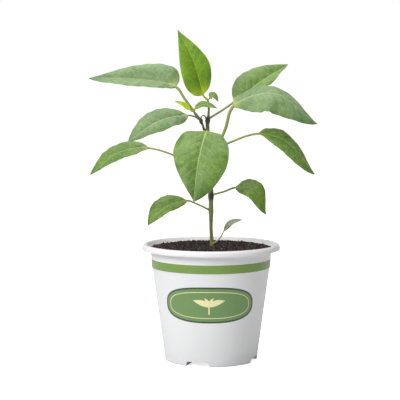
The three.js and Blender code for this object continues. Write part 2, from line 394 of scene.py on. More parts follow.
# %% Drainage channels
CHANNEL_ANGLES = (-107.5, -17.5, 72.5, 162.5)
CHANNEL_FOOT, CHANNEL_ROOF, CHANNEL_HEIGHT, CHANNEL_START = 22.6, 18.4, 4.2, 15
WALL = 1.2
WITHIN_WALL, PAST_WALL, BELOW_GROUND = 50, 60, -2    # how far the blocks reach
INSIDE_OUTLINE = [(0, 0), (39.6, 0), (40.2, 1), (40.6, 3.5), (51.2, 90), (0, 90)]
DRAIN_RADIUS, DRAIN_PLACE, DRAIN_DEPTH, DRAIN_STEPS = 4, 29, 8, 48


def channel_blocks(grow, end, lowest):
    """Four blocks of trapezoid section, lying outwards from the middle of the pot."""
    height = CHANNEL_HEIGHT + grow - lowest
    start = CHANNEL_START - grow
    blocks = []
    for angle in CHANNEL_ANGLES:
        clear_selection()
        middle = ((start + end) / 2 * MM, 0, (lowest + height / 2) * MM)
        sides = ((end - start) * MM, (CHANNEL_FOOT + 2 * grow) * MM, height * MM)
        bpy.ops.mesh.primitive_cube_add(size=1, location=middle)
        bpy.ops.transform.resize(value=sides)
        block = named("channel_block")
        bpy.ops.object.transform_apply(location=True, rotation=True, scale=True)
        bpy.ops.object.mode_set(mode="EDIT")
        mesh = bmesh.from_edit_mesh(block.data)
        for face in mesh.faces:
            face.select_set(face.normal.z > 0.9)
        bmesh.update_edit_mesh(block.data)
        narrowing = (CHANNEL_ROOF + 2 * grow) / (CHANNEL_FOOT + 2 * grow)
        bpy.ops.transform.resize(value=(1, narrowing, 1))
        bpy.ops.object.mode_set(mode="OBJECT")
        block.rotation_euler.z = math.radians(angle)
        blocks.append(block)
    return joined(blocks)


def joined(pieces):
    """Makes one object of several."""
    clear_selection()
    for piece in pieces:
        piece.select_set(True)
    bpy.context.view_layer.objects.active = pieces[0]
    bpy.ops.object.transform_apply(location=True, rotation=True, scale=True)
    if len(pieces) > 1:
        bpy.ops.object.join()
    return pieces[0]


raised = channel_blocks(WALL, WITHIN_WALL, 0)
inside = spun("inside", [(r * MM, z * MM) for r, z in INSIDE_OUTLINE], POT_STEPS)
carved(raised, inside, "INTERSECT")
carved(pot, raised, "UNION")
carved(pot, channel_blocks(0, PAST_WALL, BELOW_GROUND), "DIFFERENCE")
drains = []
for angle in CHANNEL_ANGLES:
    turn, out = math.radians(angle), DRAIN_PLACE * MM
    place = (out * math.cos(turn), out * math.sin(turn), CHANNEL_HEIGHT * MM)
    clear_selection()
    bpy.ops.mesh.primitive_cylinder_add(
        vertices=DRAIN_STEPS, radius=DRAIN_RADIUS * MM, depth=DRAIN_DEPTH * MM, location=place)
    drains.append(named("drain"))
carved(pot, joined(drains), "DIFFERENCE")
print("pot faces after carving:", len(pot.data.polygons))

# %% [markdown]
# ## Moulded plastic
# Cheap polypropylene: near white, a little cool, and satin rather than shiny. Its colour hardly
# varies, so what makes it real is a very fine orange-peel relief and slightly uneven gloss, with a
# trace of soil splash where the foot stood on a greenhouse bench.

# %% Pot finish


def plastic_finish():
    finish = Finish("moulded_plastic", Coat_Weight=0.15, Coat_Roughness=0.25, IOR=1.49,
                    Subsurface_Weight=0.15, Subsurface_Scale=0.003)
    place = finish.place()
    height = finish.parts(place)[2]
    haze = finish.grain(place, 45)
    splash = finish.grain(place, 260, 5, 0.7).fade(0.62, 0.8) * height.fade(0.02, 0.0)
    clean = finish.blend(haze, colour(220, 219, 221), colour(226, 226, 226))
    finish.wear("Base Color", finish.blend(splash * 0.35, clean, colour(150, 132, 110)))
    finish.wear("Roughness", 0.34 + finish.grain(place, 90) * 0.1)
    finish.relief(finish.grain(place, 900, 2), 0.00004, 0.5)
    return finish


finished(pot, plastic_finish(), "pot", 35)

# %% [markdown]
# ## The printed band
# A green stripe is printed on the raised ring under the lip. It is made as a sleeve a few
# hundredths of a millimetre proud of the wall, because ink has clean edges that a painted mask on a
# big piece would blur.

# %% Printed band
INK = 0.08
band_outline = [
    (51.6, 81.6), (51.6 + INK, 81.6), (51.8 + INK, 85), (52 + INK, 88.9), (52, 88.9), (51.8, 85),
    (51.6, 81.6),
]
band = spun("pot.band", [(r * MM, z * MM) for r, z in band_outline], POT_STEPS)


def ink_finish(name, red, green, blue, depth=0.12):
    """Printing ink: flat colour with the faint unevenness of a print, under a satin varnish."""
    finish = Finish(name, Coat_Weight=0.5, Coat_Roughness=0.2)
    place = finish.place()
    base = colour(red, green, blue)
    deep = tuple(c * (1 - depth) for c in base[:3]) + (1,)
    finish.wear("Base Color", finish.blend(finish.grain(place, 320, 4), deep, base))
    finish.wear("Roughness", 0.36 + finish.grain(place, 120) * 0.12)
    finish.relief(finish.grain(place, 1500, 2), 0.00002, 0.4)
    return finish


finished(band, ink_finish("green_ink", 112, 146, 56))

# %% [markdown]
# ## The printed panel
# The front of such a pot is printed with a badge. Here it is a plain one of our own: a leaf-green
# oval with a dark rim and a pale sprout. It could be one sheet with a painted mask, but then its
# edges would be only as sharp as the mask. Instead each colour is a thin sheet with its own outline,
# drawn flat, cut into small faces, and wrapped round the sloping wall, each a little further out
# than the last.

# %% Wrapping a print round the wall
WALL_FOOT, WALL_TOP = (40.6, 3.5), (51, 80.4)
PANEL_ACROSS, PANEL_HEIGHT = -2, 54.5
INK_THICKNESS = 0.05


def wall_radius(height):
    """Radius of the pot's outside at a height, both in millimetres."""
    share = (height - WALL_FOOT[1]) / (WALL_TOP[1] - WALL_FOOT[1])
    return WALL_FOOT[0] + share * (WALL_TOP[0] - WALL_FOOT[0])


def wrapped_print(name, outline, lift, finish, cell=2.0):
    """Cuts a flat outline of (across, up) millimetres into cells and wraps it on the wall."""
    clear_selection()
    bpy.ops.mesh.primitive_plane_add(size=1)
    piece = named(name)
    mesh = bmesh.new()
    mesh.faces.new([mesh.verts.new((x, 0, z)) for x, z in outline])
    mesh.to_mesh(piece.data)
    mesh.free()
    bpy.ops.object.mode_set(mode="EDIT")
    spans = [(min(axis), max(axis)) for axis in zip(*outline)]
    for (low, high), normal in zip(spans, ((1, 0, 0), (0, 0, 1))):
        for cut in np.arange(low + cell, high, cell):
            bpy.ops.mesh.select_all(action="SELECT")
            bpy.ops.mesh.bisect(plane_co=tuple(cut * n for n in normal), plane_no=normal)
    bpy.ops.mesh.select_all(action="SELECT")
    bpy.ops.mesh.quads_convert_to_tris()
    bpy.ops.object.mode_set(mode="OBJECT")
    for vertex in piece.data.vertices:
        across, up = PANEL_ACROSS + vertex.co.x, PANEL_HEIGHT + vertex.co.z
        radius = wall_radius(up) + lift
        angle = across / wall_radius(up)
        vertex.co = Vector((radius * math.sin(angle), -radius * math.cos(angle), up)) * MM
    bpy.context.view_layer.objects.active = piece
    solid = piece.modifiers.new("ink", "SOLIDIFY")
    solid.thickness = INK_THICKNESS * MM
    solid.offset = -1
    bpy.ops.object.modifier_apply(modifier="ink")
    return finished(piece, finish)


print("print wrapping ready")

# %% [markdown]
# ## The badge
# The oval is a curve between an ellipse and a rectangle: the same formula as an ellipse's with
# another power. The sprout is two pairs of small leaves on a stalk. One leaf of each pair is drawn,
# and its mirror image is the same points with the sideways sign turned and the order reversed, so
# that the face still looks outwards.

# %% Badge


def oval(half_width, half_height, power=2.6, steps=72):
    """A rounded panel shape, between an ellipse and a rectangle."""
    points = []
    for step in range(steps):
        angle = math.tau * step / steps
        c, s = math.cos(angle), math.sin(angle)
        points.append((half_width * math.copysign(abs(c) ** (2 / power), c),
                       half_height * math.copysign(abs(s) ** (2 / power), s)))
    return points


def sprout_leaf(root, length, width, tilt, steps=14):
    """Outline of a small pointed leaf that grows from root at a tilt in degrees."""
    edge = []
    for step in range(steps + 1):
        v = step / steps
        edge.append((v * length, width * math.sin(math.pi * v ** 0.8)))
    edge += [(x, -0.35 * y) for x, y in reversed(edge[1:-1])]
    c, s = math.cos(math.radians(tilt)), math.sin(math.radians(tilt))
    return [(root[0] + x * c - y * s, root[1] + x * s + y * c) for x, y in edge]


def mirrored(outline):
    return [(-x, z) for x, z in reversed(outline)]


dark_ink = ink_finish("dark_green_ink", 38, 58, 40)
panel_ink = ink_finish("leaf_green_ink", 104, 140, 78)
pale_ink = ink_finish("cream_ink", 232, 226, 168, 0.05)
wrapped_print("panel.rim", oval(41.5, 15.6), 0.09, dark_ink)
wrapped_print("panel.field", oval(40.1, 14.2), 0.13, panel_ink)
wrapped_print("panel.line", oval(36.9, 11.6), 0.17, pale_ink)
wrapped_print("panel.middle", oval(36.3, 11.0), 0.21, panel_ink)
outer_leaf = sprout_leaf((0, -1.5), 15, 3.6, 22)
inner_leaf = sprout_leaf((0, -1), 8.5, 2.2, 62)
sprout_stalk = [(-0.6, -8), (0.6, -8), (0.5, -1), (-0.5, -1)]
sprout = [outer_leaf, mirrored(outer_leaf), inner_leaf, mirrored(inner_leaf), sprout_stalk]
for number, outline in enumerate(sprout):
    wrapped_print(f"panel.sprout_{number + 1}", outline, 0.25, pale_ink, 1.5)

# %% [markdown]
# ## Potting mix
# The mix fills the pot to just under the lip. It is spun like the pot, with close rings on top, and
# the top is then pushed up and down by three sizes of noise: the hollows that watering leaves, clods,
# and crumbs. A Displace modifier could do this too, but a formula can be asked again for the height
# at any place, and the crumbs below need that.

# %% Potting mix
MIX_TOP, MIX_EDGE, MIX_RADIUS = 98.7, 98.2, 52.9
MIX_RINGS, MIX_STEPS = 86, 220
MIX_CLEARANCE = 0.4              # left round the raised floor over each channel
MIX_NOISES = [(14, 0.7, 3.1), (4.2, 0.7, 9.7), (1.4, 0.45, 5.3)]    # width, height and seed
ROUGHNESS, SETTLING = 0.8, 0.3
CALM_RADIUS, CALM_WIDTH, CALM = 47, 6, 0.8       # the mix is smoother where it meets the wall
MOUND_HEIGHT, MOUND_WIDTH, MOUND_X = 0.5, 6, 1   # and heaped a little round the stem
mix_outline = [(0, 1.5), (38.2, 1.5), (39.1, 3), (49.5, 80.4), (51, 95), (51.4, 96)]
for ring in range(MIX_RINGS):
    share = 1 - ring / MIX_RINGS
    mix_outline.append((MIX_RADIUS * share, MIX_TOP - (MIX_TOP - MIX_EDGE) * share ** 2))
mix_outline.append((0, MIX_TOP))
mix = spun("potting_mix.plug", [(r * MM, z * MM) for r, z in mix_outline], MIX_STEPS)


def mix_surface(x, y):
    """Height of the rough top of the mix, all in millimetres."""
    radius = math.hypot(x, y)
    calm = 1 - max(0, (radius - CALM_RADIUS) / CALM_WIDTH) ** 2 * CALM
    rough = sum(noise.noise(Vector((x, y, seed)) / width) * height
                for width, height, seed in MIX_NOISES)
    mound = MOUND_HEIGHT * math.exp(-(math.hypot(x - MOUND_X, y) / MOUND_WIDTH) ** 2)
    base = MIX_TOP - (MIX_TOP - MIX_EDGE) * (radius / MIX_RADIUS) ** 2
    return base + rough * calm * ROUGHNESS + mound - SETTLING


for vertex in mix.data.vertices:
    x, y, z = vertex.co / MM
    if z > MIX_EDGE - 0.1:
        vertex.co.z = mix_surface(x, y) * MM
carved(mix, channel_blocks(WALL + MIX_CLEARANCE, PAST_WALL, BELOW_GROUND), "DIFFERENCE")
mix_height = max(vertex.co.z for vertex in mix.data.vertices)
plain_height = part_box("potting_mix")[1][2]
print("mix top:", round(mix_height / MM, 2), "mm, plain top:", round(plain_height / MM, 2), "mm")

# %% [markdown]
# ## Damp peat
# Wet peat is nearly black in its hollows and brown on its crumbs, with reddish patches of coarse
# fibre. One noise drives the colour, the roughness and the relief together, because on real peat they
# go together. The same finish in other colours serves the bark and the grit.

# %% Peat finish


def mix_finish(name, dark, light, size=900):
    finish = Finish(name, Coat_Weight=0.05)
    place = finish.place()
    mottle = finish.grain(place, size, 4, 0.75)
    patches = finish.grain(place, 70, 3)
    shade = finish.blend(mottle.fade(0.35, 0.75), colour(*dark), colour(*light))
    finish.wear("Base Color", finish.blend(patches.fade(0.5, 0.72) * 0.5, shade, colour(78, 40, 34)))
    finish.wear("Roughness", 0.72 + mottle * 0.25)
    finish.relief(mottle, 0.0006, 0.8)
    return finish


peat = mix_finish("damp_peat", (16, 9, 8), (60, 42, 38))
finished(mix, peat, "potting_mix", 60)

# %% [markdown]
# ## Loose lumps
# What makes soil read as soil is what lies loose on it. A particle system or geometry nodes could
# strew it. Here one lump of each kind is modelled and copied by the hundred, each copy with its own
# turn, size and place from a fixed seed, so that every run is the same. All copies of a kind are one
# mesh.

# %% Strewing lumps
draw = random.Random(12)
FEW_BIG = 2.2                    # the higher, the fewer big lumps among the small


def lump(name, stretch, roughness):
    """One irregular lump about a unit across."""
    clear_selection()
    bpy.ops.mesh.primitive_ico_sphere_add(subdivisions=2, radius=0.5)
    piece = named(name)
    for vertex in piece.data.vertices:
        swell = 1 + roughness * noise.noise(vertex.co * 3.3 + Vector((7, 2, stretch[0])))
        vertex.co = Vector(c * swell * s for c, s in zip(vertex.co, stretch))
    bpy.ops.object.mode_set(mode="EDIT")
    bpy.ops.mesh.select_all(action="SELECT")
    bpy.ops.mesh.decimate(ratio=0.35)
    bpy.ops.object.mode_set(mode="OBJECT")
    return piece


def strewn(name, pattern, count, sizes, finish, sink=0.2, tilt=3.1, reach=52):
    """Copies a lump over the top of the mix, each copy with its own turn, size and corners."""
    base = np.array([tuple(v.co) for v in pattern.data.vertices])
    faces = [list(f.vertices) for f in pattern.data.polygons]
    points, loops = [], []
    for number in range(count):
        radius, around = reach * math.sqrt(draw.random()), draw.uniform(0, math.tau)
        x, y = radius * math.cos(around), radius * math.sin(around)
        size = sizes[0] + (sizes[1] - sizes[0]) * draw.random() ** FEW_BIG
        turns = (draw.uniform(-tilt, tilt), draw.uniform(-tilt, tilt), draw.uniform(0, math.tau))
        turn = np.array(Euler(turns, "XYZ").to_matrix())
        copy = base @ turn.T * size
        lowest = copy[:, 2].min()
        copy += (x, y, mix_surface(x, y) - lowest - sink * size)
        loops += [[i + len(points) for i in face] for face in faces]
        points += [tuple(p) for p in copy * MM]
    bpy.data.objects.remove(pattern)
    mesh = bpy.data.meshes.new(name)
    mesh.from_pydata(points, [], loops)
    piece = bpy.data.objects.new(name, mesh)
    bpy.context.collection.objects.link(piece)
    return finished(piece, finish, None, 45)


print("strewing ready")

# %% [markdown]
# ## Crumbs, bark and grit
# Most of what lies on the mix is more peat, in rounded crumbs that sink in. Bark is longer and
# flatter, lies nearly level, and hardly sinks. Grit is small, round and pale. Small lumps are far
# commoner than big ones. The numbers in each line are how many, and the smallest and biggest size.

# %% Crumbs, bark and grit
crumb = lump("crumb", (1, 0.85, 0.7), 0.9)
strewn("potting_mix.crumbs", crumb, 3200, (0.5, 1.9), peat, sink=0.35)
brown = mix_finish("brown_fibre", (70, 40, 34), (142, 100, 82), 1300)
bark = lump("bark_bit", (1.5, 0.55, 0.3), 0.7)
strewn("potting_mix.bark", bark, 700, (0.6, 2.2), brown, sink=0.12, tilt=0.4)
grit = mix_finish("pale_grit", (150, 138, 124), (205, 198, 188), 2000)
grit_bit = lump("grit_bit", (1, 0.9, 0.8), 0.8)
strewn("potting_mix.grit", grit_bit, 260, (0.35, 0.9), grit, sink=0.15)

# %% [markdown]
# ## Paths and frames
# Stems and leaves follow a smooth path through a few points. Blender's curves with a bevel object
# could carry a section along it, but a leaf's section changes all the way. So at every station a
# frame is worked out: one way along the path, one sideways, and one out of the upper face. With those,
# any section can be carried along.

# %% Paths and frames
NUDGE = 1e-4


def along_path(points, shares):
    """Points of a smooth curve through the given ones, at shares from 0 to 1 of its spans."""
    given = np.asarray(points, float)
    ends = np.vstack([2 * given[0] - given[1], given, 2 * given[-1] - given[-2]])
    spans = len(given) - 1
    curve = []
    for share in shares:
        span = min(int(share * spans), spans - 1)
        w = share * spans - span
        p0, p1, p2, p3 = ends[span:span + 4]
        steps = ((p0, p1), (p1, p2), (p2, p3))
        d0, d1, d2 = (max(np.dot(b - a, b - a) ** 0.25, 1e-9) for a, b in steps)
        slope1 = ((p1 - p0) / d0 - (p2 - p0) / (d0 + d1) + (p2 - p1) / d1) * d1
        slope2 = ((p2 - p1) / d1 - (p3 - p1) / (d1 + d2) + (p3 - p2) / d2) * d1
        curve.append(p1 + slope1 * w + (3 * (p2 - p1) - 2 * slope1 - slope2) * w ** 2
                     + (2 * (p1 - p2) + slope1 + slope2) * w ** 3)
    return np.array(curve)


def frames_on(points, shares, facings):
    """Centre, sideways and upward directions at each share of a path."""
    ahead = along_path(points, np.minimum(shares + NUDGE, 1))
    behind = along_path(points, np.maximum(shares - NUDGE, 0))
    tangent = unit(ahead - behind)
    side = unit(np.cross(tangent, facings))
    return along_path(points, shares), side, np.cross(side, tangent)


print("paths ready")

# %% [markdown]
# ## A cylinder in rings
# Every stem and leaf starts as the same plain cylinder, cut into rings by subdividing its long edges.
# Each corner knows its ring and its angle, and is then moved to where the plant's surface is. Because
# the cylinder is closed, every stem and leaf is closed as well.

# %% Ringed cylinder


def ringed_cylinder(name, around, along):
    """A cylinder in rings, with each corner's ring and angle, and which are a cap's middle."""
    clear_selection()
    bpy.ops.mesh.primitive_cylinder_add(vertices=around, radius=1, depth=1, end_fill_type="TRIFAN")
    piece = named(name)
    bpy.ops.object.mode_set(mode="EDIT")
    bpy.ops.mesh.select_mode(type="EDGE")
    bpy.ops.mesh.select_all(action="DESELECT")
    mesh = bmesh.from_edit_mesh(piece.data)
    for edge in mesh.edges:
        edge.select_set(abs(edge.verts[0].co.z - edge.verts[1].co.z) > 0.5)
    bmesh.update_edit_mesh(piece.data)
    bpy.ops.mesh.subdivide(number_cuts=along - 1)
    bpy.ops.mesh.select_mode(type="VERT")
    bpy.ops.object.mode_set(mode="OBJECT")
    corners = np.array([tuple(v.co) for v in piece.data.vertices])
    ring = np.rint((corners[:, 2] + 0.5) * along).astype(int)
    turn = np.rint(np.arctan2(corners[:, 1], corners[:, 0]) / math.tau * around) % around
    middle = np.hypot(corners[:, 0], corners[:, 1]) < 0.5
    return piece, ring, turn / around * math.tau, middle


def store(piece, name, values):
    """Keeps three numbers at each corner, for the finish to read."""
    attribute = piece.data.attributes.new(name, "FLOAT_VECTOR", "POINT")
    attribute.data.foreach_set("vector", np.ascontiguousarray(values, float).ravel())


def move_corners(piece, places):
    piece.data.vertices.foreach_set("co", np.ascontiguousarray(places * MM, float).ravel())
    piece.data.update()


def smooth_step(values):
    values = np.clip(values, 0, 1)
    return values * values * (3 - 2 * values)


print("ringed cylinder ready")

# %% [markdown]
# ## Stem, side shoot and flower bud
# A pepper's stem is green and slightly ribbed. It swells at its nodes, where leaves leave it, and
# turns purple-black there. Each row below is x, y, z and radius in millimetres, and how dark the skin
# is there, from 0 to 1. The first rows of the stem are its root, deep in the mix.

# %% Stem rows
MAIN_STEM = [
    (1, 0, 72, 0.5, 0), (1, 0, 80, 1.2, 0), (1, 0, 88, 1.7, 0), (1, 0, 94, 2.1, 0.1),
    (1, 0, 98, 1.9, 0.3), (0.5, 0, 106, 1.6, 0), (0, 0, 115, 1.5, 0), (0, 0, 124, 1.8, 0),
    (0, 0, 130, 2.2, 0.25), (0, 0, 137, 2, 0.1), (0, 0, 143, 2.5, 0.8), (0, 0, 149, 2, 0.2),
    (-0.5, 0, 160, 1.9, 0.1), (-1, 0, 171, 1.9, 0.2), (-1.6, 0, 180, 2.1, 0.3),
    (-2.4, 0, 190, 1.8, 0), (-3, 0, 199, 1.8, 0.25), (-3.1, 0, 204.5, 1.6, 0.4),
    (-2.9, 0, 208.6, 2.2, 0.9), (-2.3, 0, 213, 1.1, 0.35), (-2, 0, 218, 0.9, 0),
    (-2.3, 0, 223, 1.1, 0), (-3, 0, 226.4, 0.7, 0),
]
SIDE_SHOOT = [
    (-4.4, 0, 199.4, 1.1, 0.8), (-6.1, 0.3, 200.8, 1.1, 0.7), (-7.1, 1, 204, 1, 0.3),
    (-8.8, 1.6, 207.8, 1.2, 0.7), (-11, 2.2, 211, 1.2, 0.45), (-13.2, 2.7, 213.6, 1.3, 0.3),
    (-15, 3, 216.2, 0.9, 0),
]
FLOWER_BUD = [
    (-3.6, -1.4, 209.4, 0.8, 0.8), (-4.6, -2.4, 210.6, 0.6, 0.6), (-5.2, -3.6, 212.2, 0.5, 0.5),
    (-6.6, -4.6, 213, 0.5, 0.5), (-8.1, -5, 212.2, 0.5, 0.5), (-8.7, -5, 210.6, 0.7, 0.6),
    (-8.7, -5, 208.8, 1.6, 0.8), (-8.7, -5, 206.8, 1.6, 0.9), (-8.7, -5, 205.6, 0.5, 0.7),
]
print("stem rows:", len(MAIN_STEM), len(SIDE_SHOOT), len(FLOWER_BUD))

# %% [markdown]
# ## Growing a stem
# Each ring of a cylinder is carried to its place and size along the path. Five low ribs run up it,
# and a little noise roughens the dark nodes. How dark each ring is, is stored at its corners, where
# the finish can read it.

# %% Growing a stem
RIBS = 5
RIB_TWIST = 0.02
NODE_BUMP, NODE_GRAIN = 0.07, 1.7


def grown_stem(name, rows, around, per_span, rib, finish, node):
    spans = len(rows) - 1
    piece, ring, angle, middle = ringed_cylinder(name, around, spans * per_span)
    shares = np.arange(spans * per_span + 1) / (spans * per_span)
    table = np.array(rows, float)
    facing = np.tile((0.0, -1.0, 0.02), (len(shares), 1))
    centre, side, face = frames_on(table[:, :3], shares, facing)
    at = shares * spans
    low = np.minimum(at.astype(int), spans - 1)
    ease = smooth_step(at - low)
    radius = table[low, 3] + (table[low + 1, 3] - table[low, 3]) * ease
    dark = table[low, 4] + (table[low + 1, 4] - table[low, 4]) * ease
    ribbed = 1 + rib * np.cos(RIBS * angle + centre[ring, 2] * RIB_TWIST)
    reach = np.where(middle, 0, radius[ring] * ribbed)
    sideways, outward = np.cos(angle) * reach, np.sin(angle) * reach
    places = centre[ring] + side[ring] * sideways[:, None] - face[ring] * outward[:, None]
    for i, place in enumerate(places):
        bump = noise.noise(Vector(place) / NODE_GRAIN) * NODE_BUMP * dark[ring[i]]
        places[i] += unit(place - centre[ring[i]] + 1e-9) * bump
    move_corners(piece, places)
    store(piece, "skin", np.column_stack([dark[ring], np.cos(RIBS * angle), shares[ring]]))
    return finished(piece, finish, node, 60)


print("stem growing ready")

# %% [markdown]
# ## Stem skin
# Young skin is smooth and green with faint streaks that run up it. Squeezing the height before the
# noise is read draws the grain out into streaks. At the nodes the stored darkness, broken up by a
# speckle, turns the skin purple-black.

# %% Stem finish and stems


def stem_finish(name, green, pale, dark):
    finish = Finish(name, Coat_Weight=0.1, Coat_Roughness=0.3, Subsurface_Weight=0.1,
                    Subsurface_Scale=0.001)
    place = finish.place()
    mark, rib, _ = finish.parts(finish.stored("skin"))
    x, y, z = finish.parts(place)
    long = finish.node("ShaderNodeCombineXYZ", None, {0: x, 1: y, 2: z * 0.08})
    streaks = finish.grain(long, 1400, 3)
    speckle = finish.grain(place, 600, 4, 0.65)
    skin = finish.blend(streaks.fade(0.3, 0.7) * 0.7 + rib * 0.15, colour(*green), colour(*pale))
    share = (mark * 1.3 + (speckle - 0.5) * 0.9 * mark.fade(0.0, 0.3)).fade(0.15, 0.95)
    finish.wear("Base Color", finish.blend(share, skin, colour(*dark)))
    finish.wear("Roughness", 0.42 + speckle * 0.15)
    finish.relief(streaks + speckle * 0.5, 0.00012, 0.5)
    return finish


green_stem = stem_finish("green_stem", (92, 98, 44), (148, 152, 86), (50, 44, 36))
bud_skin = stem_finish("bud_skin", (88, 100, 44), (128, 138, 70), (44, 42, 32))
grown_stem("stem.main", MAIN_STEM, 28, 9, 0.05, green_stem, "main_stem")
grown_stem("stem.side_shoot", SIDE_SHOOT, 24, 10, 0.05, green_stem, "side_shoot")
grown_stem("bud.flower", FLOWER_BUD, 24, 8, 0.03, bud_skin, "flower_bud")

# %% [markdown]
# ## Leaves
# Every leaf is made by one function from a short row of numbers, the way a plant makes them from one
# plan. A leaf follows five points: the foot of its stalk, the middle of the stalk, the base of the
# blade, the middle of the blade and the tip. faces is where its upper side looks at the blade's base
# and tip. left and right are the two halves of the blade, each with its width, how slowly it swells,
# how slowly it tapers, the degrees it is folded up, and the height of the ripple along its margin.
# stalk is the stalk's radius, and tone says how old the leaf looks, or that its colours also carry a
# painted reflection of the sky.

# %% Leaf rows
LEAVES = {
    "top_leaf": dict(
        path=[(-4.8, -0.9, 227), (-5.8, -1.3, 228.7), (-7, -2, 230.4), (-13.8, -7, 256.2),
              (-29, -2, 287)],
        faces=[(0.35, -1, 0.15), (0.1, -1, 0.1)],
        left=(15.1, 0.74, 1.24, 9, 0.8), right=(12.2, 1.01, 1.37, 10, 0.8), stalk=0.9, tone="fresh"),
    "upper_left_leaf": dict(
        path=[(-16.8, 4.6, 218), (-23.4, 5, 227.8), (-30.7, 6, 237.4), (-65.6, 14, 244),
              (-107, 18, 245)],
        faces=[(-0.1, -0.56, 0.83), (0, -0.56, 0.83)],
        left=(14.6, 0.63, 0.7, 11, 0.3), right=(19.3, 0.43, 1.25, 18, 0), stalk=1.2, tone="bloomy"),
    "bright_leaflet": dict(
        path=[(-17.1, 1.6, 216.2), (-17.6, 1.4, 217), (-18.4, 1.2, 218), (-23, 0, 221.8),
              (-31.5, -2, 225.3)],
        faces=[(0, -0.8, 0.6), (0, -0.8, 0.6)],
        left=(2.7, 0.6, 0.9, 10, 0), right=(2.7, 0.6, 0.9, 10, 0), stalk=0.6, tone="bright"),
    "curved_leaflet": dict(
        path=[(-14.2, 0.6, 216.6), (-14.2, -0.3, 217.8), (-13.8, -1, 219.2), (-6, -5.5, 222.3),
              (5.5, -8, 219.2)],
        faces=[(0, -0.7, 0.7), (0.1, -0.7, 0.7)],
        left=(4.2, 0.5, 0.9, 10, 0.3), right=(4, 0.5, 0.9, 10, 0.3), stalk=0.6, tone="grown"),
    "tip_leaflet": dict(
        path=[(-1.7, -1, 226.3), (-1.6, -1.4, 227.2), (-1.2, -1.8, 228.2), (1.8, -3, 230),
              (6.2, -5, 224.7)],
        faces=[(0, -0.7, 0.7), (0.6, -0.6, 0.3)],
        left=(4, 0.5, 0.9, 10, 0), right=(3.6, 0.5, 0.9, 10, 0), stalk=0.45, tone="grown"),
    "upper_right_leaf": dict(
        path=[(0.4, 1.6, 210), (10.9, 12, 217.7), (20.8, 22, 224.4), (40.9, 34, 239),
              (69, 44, 257)],
        faces=[(-0.2, -0.6, 0.8), (0, -0.6, 0.8)],
        left=(18.2, 0.9, 1.07, 13, 0.2), right=(11.4, 0.64, 0.96, 9, 1.7), stalk=0.95, tone="grown"),
    "mid_left_leaf": dict(
        path=[(-10.8, -0.8, 209.2), (-14.3, -5, 211.9), (-20.2, -12, 213.3), (-44, -26, 209.1),
              (-70, -34, 192)],
        faces=[(0, -0.62, 0.8), (-0.3, -0.6, 0.7)],
        left=(11.4, 0.76, 0.93, -10, 0.8), right=(14.5, 0.75, 0.79, 5, -0.2), stalk=0.75,
        tone="bloomy"),
    "right_leaf": dict(
        path=[(1.8, 2.6, 171.5), (12.3, 4, 201), (19.3, 1, 220.6), (52.5, -6, 232), (91, -12, 206)],
        faces=[(0, -0.5, 0.85), (0.3, -0.5, 0.83)],
        left=(20.7, 0.64, 1.18, -12, 0.4), right=(21.5, 0.77, 0.8, -19, 0.8), stalk=1.4, tone="bloomy"),
    "mid_right_leaf": dict(
        path=[(1.8, -1.6, 182), (14.6, -6, 189.2), (41, -8, 197.4), (64, -12, 190.8),
              (89, -14, 163)],
        faces=[(0, -0.5, 0.85), (0.4, -0.5, 0.8)],
        left=(11.9, 0.61, 1.3, 3, 0.5), right=(11.5, 0.95, 0.7, -13, 0.1), stalk=0.95, tone="grown"),
    "front_leaf": dict(
        path=[(-2.6, -3.3, 179), (-4.1, -12, 192.8), (-4.2, -22, 199.6), (-10.9, -44, 176.1),
              (-15, -54, 143)],
        faces=[(0, -0.4, 1), (0, -1, 0.3)],
        left=(24.7, 0.61, 0.77, 1, 1.2), right=(23, 0.59, 1.12, 0, 1.4), stalk=1.1, tone="grown"),
    "lower_left_leaf": dict(
        path=[(-3.4, 2.2, 162.5), (-17.5, 12, 171.2), (-55, 20, 183.5), (-82.7, 25, 178.6),
              (-107, 26, 159)],
        faces=[(0, -0.45, 0.9), (-0.4, -0.45, 0.83)],
        left=(11.8, 0.71, 1.16, -4, 0.3), right=(12.4, 0.7, 0.77, 10, -0.3), stalk=0.85, tone="grown"),
    "low_left_leaf": dict(
        path=[(-3.2, -1.5, 130.6), (-11, -6, 136), (-20.9, -12, 140), (-39.1, -22, 135.5),
              (-54, -28, 120)],
        faces=[(0, -0.5, 0.85), (-0.4, -0.5, 0.83)],
        left=(8.3, 0.71, 1.01, -7, -0.3), right=(12.8, 0.8, 0.89, 9, -0.4), stalk=0.8, tone="old"),
    "low_right_leaf": dict(
        path=[(3.6, -1, 143.8), (12, -6, 147.6), (21, -12, 151.3), (36.9, -20, 149.9),
              (47, -24, 129)],
        faces=[(0, -0.5, 0.85), (0.5, -0.5, 0.7)],
        left=(12.7, 0.66, 1.34, 5, -0.3), right=(10, 0.72, 0.82, -17, -0.1), stalk=0.85, tone="old"),
    "seed_leaf": dict(
        path=[(2.6, -2.6, 101.5), (7, -6, 106), (11, -8, 113), (17, -12, 121), (27, -14, 124)],
        faces=[(0.2, -0.7, 0.3), (0, -0.6, 0.7)],
        left=(2.8, 0.8, 0.9, 0, 0), right=(2.8, 0.8, 0.9, 0, 0), stalk=0.6, tone="seed"),
}
print("leaves:", len(LEAVES))

# %% [markdown]
# ## Where the veins run
# Between its side veins a pepper leaf puffs up like quilting. The veins leave the midrib in turn on
# each side and curve towards the tip. One formula says where they run. It shapes the blade here,
# and the same formula, written as shader sums, colours them further down, so colour and relief agree.

# %% Veins and outline
VEIN_SLANT, VEIN_CURVE, VEIN_OFFSET = 0.75, 0.1, 0.45


def between_veins(across, along):
    """0 on a side vein and 1 half way to the next. Both lengths are counted in vein spacings."""
    phase = along - VEIN_SLANT * abs(across) - VEIN_CURVE * across ** 2 + VEIN_OFFSET * (across > 0)
    return 1 - abs(2 * (phase - np.floor(phase)) - 1)


